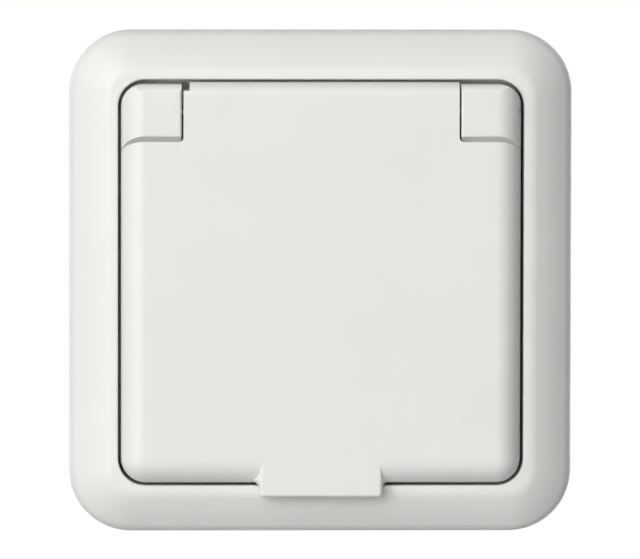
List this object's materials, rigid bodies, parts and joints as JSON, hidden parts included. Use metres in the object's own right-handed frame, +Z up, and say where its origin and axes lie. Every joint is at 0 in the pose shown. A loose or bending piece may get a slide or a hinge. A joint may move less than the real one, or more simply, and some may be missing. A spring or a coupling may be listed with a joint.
{
  "type": "outdoor weatherproof socket",
  "caption": "Flush wall socket for round-pin earthed plugs: square white frame, sprung hinged lid with a grip tab, round plug well, seals, steel support ring and insulated contact insert.",
  "frame": {"origin": "On the wall's face, midway between the wall box's screws", "axes": "X to the right and Z up the wall as seen from the front, Y into the wall, so the lid faces -Y"},
  "size_m": [0.082, 0.0476, 0.082],
  "materials": {
    "white_plastic": "satin",
    "seal_rubber": "matte",
    "zinc_steel": null,
    "dark_steel": null,
    "spring_steel": null,
    "contact_brass": null,
    "plated_brass": null,
    "base_plastic": null,
    "button_plastic": null
  },
  "bodies": {
    "socket": {"cover_frame": "white_plastic", "socket_cover": "white_plastic", "frame_seal": "seal_rubber", "cover_seal": "seal_rubber", "hinge_pin": "dark_steel", "lid_spring": "spring_steel", "cover_screw": "zinc_steel", "support_ring": "zinc_steel", "ring_rivets": "zinc_steel", "socket_base": "base_plastic", "contact_cover": "base_plastic", "contact_left": "contact_brass", "contact_right": "contact_brass", "earth_strap": "plated_brass", "clamp_spring_left": "spring_steel", "clamp_spring_right": "spring_steel", "clamp_spring_earth": "spring_steel"},
    "lid": {"lid": "white_plastic", "lid_seal": "seal_rubber"},
    "release_left": {"release_button_left": "button_plastic"},
    "release_right": {"release_button_right": "button_plastic"},
    "release_earth": {"release_button_earth": "button_plastic"}
  },
  "joints": [
    {"name": "lid_hinge", "type": "hinge", "parent": "socket", "child": "lid", "pos_m": [0, -0.011, 0.0278], "axis": [-1, 0, 0], "range_deg": [0, 110], "stiffness_Nm_per_rad": 0.03, "springref_deg": -28.65, "deforming": ["lid_spring"]},
    {"name": "release_left_slide", "type": "slide", "parent": "socket", "child": "release_left", "axis": [0, -1, 0], "range_m": [0, 0.0012], "stiffness_N_per_m": 800, "springref_m": -0.001, "deforming": ["clamp_spring_left"]},
    {"name": "release_right_slide", "type": "slide", "parent": "socket", "child": "release_right", "axis": [0, -1, 0], "range_m": [0, 0.0012], "stiffness_N_per_m": 800, "springref_m": -0.001, "deforming": ["clamp_spring_right"]},
    {"name": "release_earth_slide", "type": "slide", "parent": "socket", "child": "release_earth", "axis": [0, -1, 0], "range_m": [0, 0.0012], "stiffness_N_per_m": 800, "springref_m": -0.001, "deforming": ["clamp_spring_earth"]}
  ]
}
